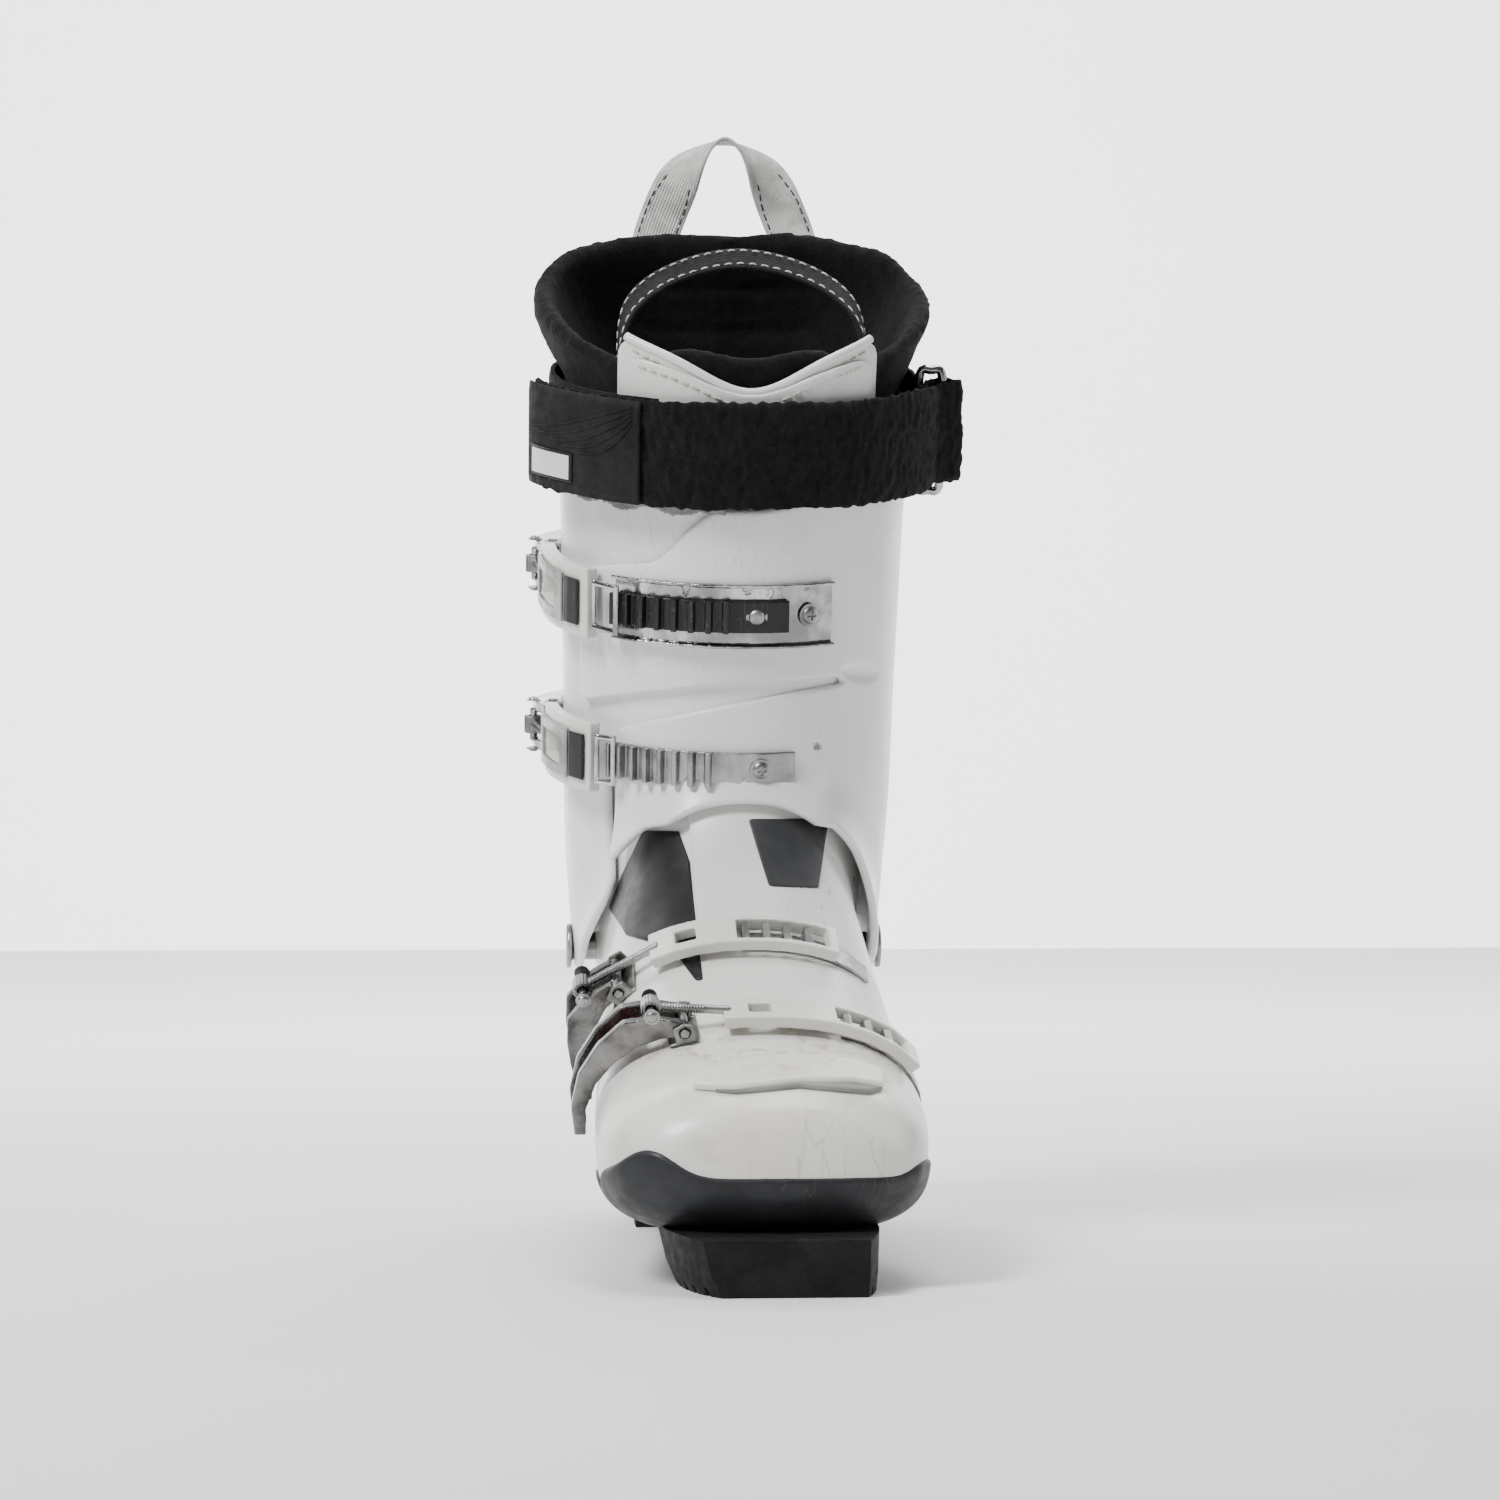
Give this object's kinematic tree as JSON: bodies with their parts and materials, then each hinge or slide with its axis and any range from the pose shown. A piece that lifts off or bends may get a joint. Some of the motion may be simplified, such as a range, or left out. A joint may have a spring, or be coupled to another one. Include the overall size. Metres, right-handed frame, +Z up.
{
  "type": "alpine ski boot",
  "caption": "Right alpine ski boot with a hinged cuff over a rigid lower shell, lever buckles that hook on toothed racks, a power strap and a padded liner.",
  "frame": {"origin": "centre of the heel pad underside, on the ground plane", "axes": "+Z up the shaft, -Y towards the toe, +X towards the medial (inner) side of this right boot"},
  "size_m": [0.1446, 0.3014, 0.3902],
  "materials": {
    "white_shell": "satin injection-moulded polyurethane, lightly scuffed",
    "dark_plastic": "matt dark grey moulded plastic",
    "sole_rubber": "hard black sole rubber, worn",
    "liner_fabric": "black plush and foam",
    "tongue_white": "glossy white synthetic leather with stitching",
    "dark_insert": "soft dark plastic insert",
    "badge_plastic": "moulded white crescent, stained",
    "grey_webbing": "ribbed light grey webbing",
    "black_webbing": "black webbing with hook-and-loop pile",
    "strap_rubber": "smooth embossed strap end",
    "black_rack": "black moulded nylon",
    "chrome_plate": "bright chromed steel",
    "white_arm": "off-white moulded nylon",
    "burgundy_plastic": "burgundy moulded plastic",
    "lever_steel": "worn dark chromed steel",
    "wire_steel": "bent spring-steel wire",
    "pin_steel": "turned steel",
    "buckle_steel": "stamped galvanised steel"
  },
  "bodies": {
    "boot_shell": {"lower_shell": "white_shell", "sole_frame": "dark_plastic", "toe_sole_pad": "sole_rubber", "heel_sole_pad": "sole_rubber", "bootboard": "dark_plastic", "liner_foot": "liner_fabric", "footbed": "liner_fabric", "instep_insert_lateral": "dark_insert", "instep_insert_medial": "dark_insert", "toe_badge": "badge_plastic", "ankle_rivet_lateral": "pin_steel", "ankle_rivet_medial": "pin_steel", "rack_instep": "buckle_steel", "rack_toe": "buckle_steel", "instep_buckle_base": "buckle_steel", "instep_buckle_pin": "pin_steel", "toe_buckle_base": "buckle_steel", "toe_buckle_pin": "pin_steel"},
    "cuff": {"cuff": "white_shell", "rear_spine": "dark_plastic", "spine_bolt": "pin_steel", "liner_upper": "liner_fabric", "tongue": "liner_fabric", "tongue_facing": "tongue_white", "heel_loop": "grey_webbing", "tongue_loop": "black_webbing", "strap_back": "black_webbing", "strap_ring": "chrome_plate", "rack_plate_top": "chrome_plate", "rack_top": "black_rack", "rack_rivet_top": "pin_steel", "rack_screw_top": "pin_steel", "rack_low": "buckle_steel", "rack_screw_low": "pin_steel", "top_buckle_base": "buckle_steel", "top_buckle_pin": "pin_steel", "low_buckle_base": "buckle_steel", "low_buckle_pin": "pin_steel"},
    "strap_tail": {"strap_tail": "black_webbing", "strap_end_patch": "strap_rubber"},
    "instep_buckle_lever": {"instep_buckle_lever": "lever_steel", "instep_buckle_insert": "burgundy_plastic"},
    "instep_buckle_arm": {"instep_buckle_arm": "white_arm", "instep_buckle_rod": "pin_steel"},
    "toe_buckle_lever": {"toe_buckle_lever": "lever_steel", "toe_buckle_insert": "burgundy_plastic"},
    "toe_buckle_arm": {"toe_buckle_arm": "white_arm", "toe_buckle_rod": "pin_steel"},
    "top_buckle_lever": {"top_buckle_lever": "lever_steel"},
    "top_buckle_arm": {"top_buckle_arm": "white_arm", "top_buckle_rod": "pin_steel", "top_buckle_frame": "buckle_steel", "top_buckle_plate": "black_rack"},
    "top_buckle_wire": {"top_buckle_loop": "wire_steel"},
    "low_buckle_lever": {"low_buckle_lever": "lever_steel"},
    "low_buckle_arm": {"low_buckle_arm": "white_arm", "low_buckle_rod": "pin_steel", "low_buckle_frame": "buckle_steel", "low_buckle_plate": "black_rack"},
    "low_buckle_wire": {"low_buckle_loop": "wire_steel"}
  },
  "joints": [
    {"name": "cuff_flex", "type": "hinge", "parent": "boot_shell", "child": "cuff", "pos_m": [0, -0.0295, 0.1006], "axis": [1, 0, 0], "range_deg": [0, 5], "stiffness_Nm_per_rad": 200},
    {"name": "strap_release", "type": "hinge", "parent": "cuff", "child": "strap_tail", "pos_m": [0.0706, -0.0925, 0.2811], "axis": [0, -0.2419, 0.9703], "range_deg": [0, 70]},
    {"name": "instep_buckle_open", "type": "hinge", "parent": "boot_shell", "child": "instep_buckle_lever", "pos_m": [-0.0443, -0.1503, 0.0939], "axis": [0, 0.866, 0.5], "range_deg": [0, 100]},
    {"name": "instep_buckle_lift", "type": "hinge", "parent": "instep_buckle_lever", "child": "instep_buckle_arm", "pos_m": [-0.0558, -0.1484, 0.0907], "axis": [0, -0.866, -0.5], "range_deg": [0, 150]},
    {"name": "toe_buckle_open", "type": "hinge", "parent": "boot_shell", "child": "toe_buckle_lever", "pos_m": [-0.0253, -0.1982, 0.0815], "axis": [0, 0.9397, 0.342], "range_deg": [0, 100]},
    {"name": "toe_buckle_lift", "type": "hinge", "parent": "toe_buckle_lever", "child": "toe_buckle_arm", "pos_m": [-0.0359, -0.1999, 0.0862], "axis": [0, -0.9397, -0.342], "range_deg": [0, 150]},
    {"name": "top_buckle_open", "type": "hinge", "parent": "cuff", "child": "top_buckle_lever", "pos_m": [-0.063, -0.0501, 0.2349], "axis": [0, -0.2419, 0.9703], "range_deg": [0, 100]},
    {"name": "top_buckle_lift", "type": "hinge", "parent": "top_buckle_lever", "child": "top_buckle_arm", "pos_m": [-0.0689, -0.0388, 0.2377], "axis": [0, 0.2419, -0.9703], "range_deg": [0, 150]},
    {"name": "top_buckle_unhook", "type": "hinge", "parent": "top_buckle_arm", "child": "top_buckle_wire", "pos_m": [-0.0506, -0.1132, 0.2191], "axis": [0, 0.2419, -0.9703], "range_deg": [0, 60]},
    {"name": "low_buckle_open", "type": "hinge", "parent": "cuff", "child": "low_buckle_lever", "pos_m": [-0.0625, -0.04, 0.1783], "axis": [0, -0.1908, 0.9816], "range_deg": [0, 100]},
    {"name": "low_buckle_lift", "type": "hinge", "parent": "low_buckle_lever", "child": "low_buckle_arm", "pos_m": [-0.0691, -0.0291, 0.1804], "axis": [0, 0.1908, -0.9816], "range_deg": [0, 150]},
    {"name": "low_buckle_unhook", "type": "hinge", "parent": "low_buckle_arm", "child": "low_buckle_wire", "pos_m": [-0.0492, -0.0982, 0.167], "axis": [0, 0.1908, -0.9816], "range_deg": [0, 60]}
  ],
  "couplings": [
    {"joint": "instep_buckle_lift", "follows": "instep_buckle_open", "ratio": 1.5},
    {"joint": "toe_buckle_lift", "follows": "toe_buckle_open", "ratio": 1.5},
    {"joint": "top_buckle_lift", "follows": "top_buckle_open", "ratio": 1.5},
    {"joint": "low_buckle_lift", "follows": "low_buckle_open", "ratio": 1.5}
  ]
}
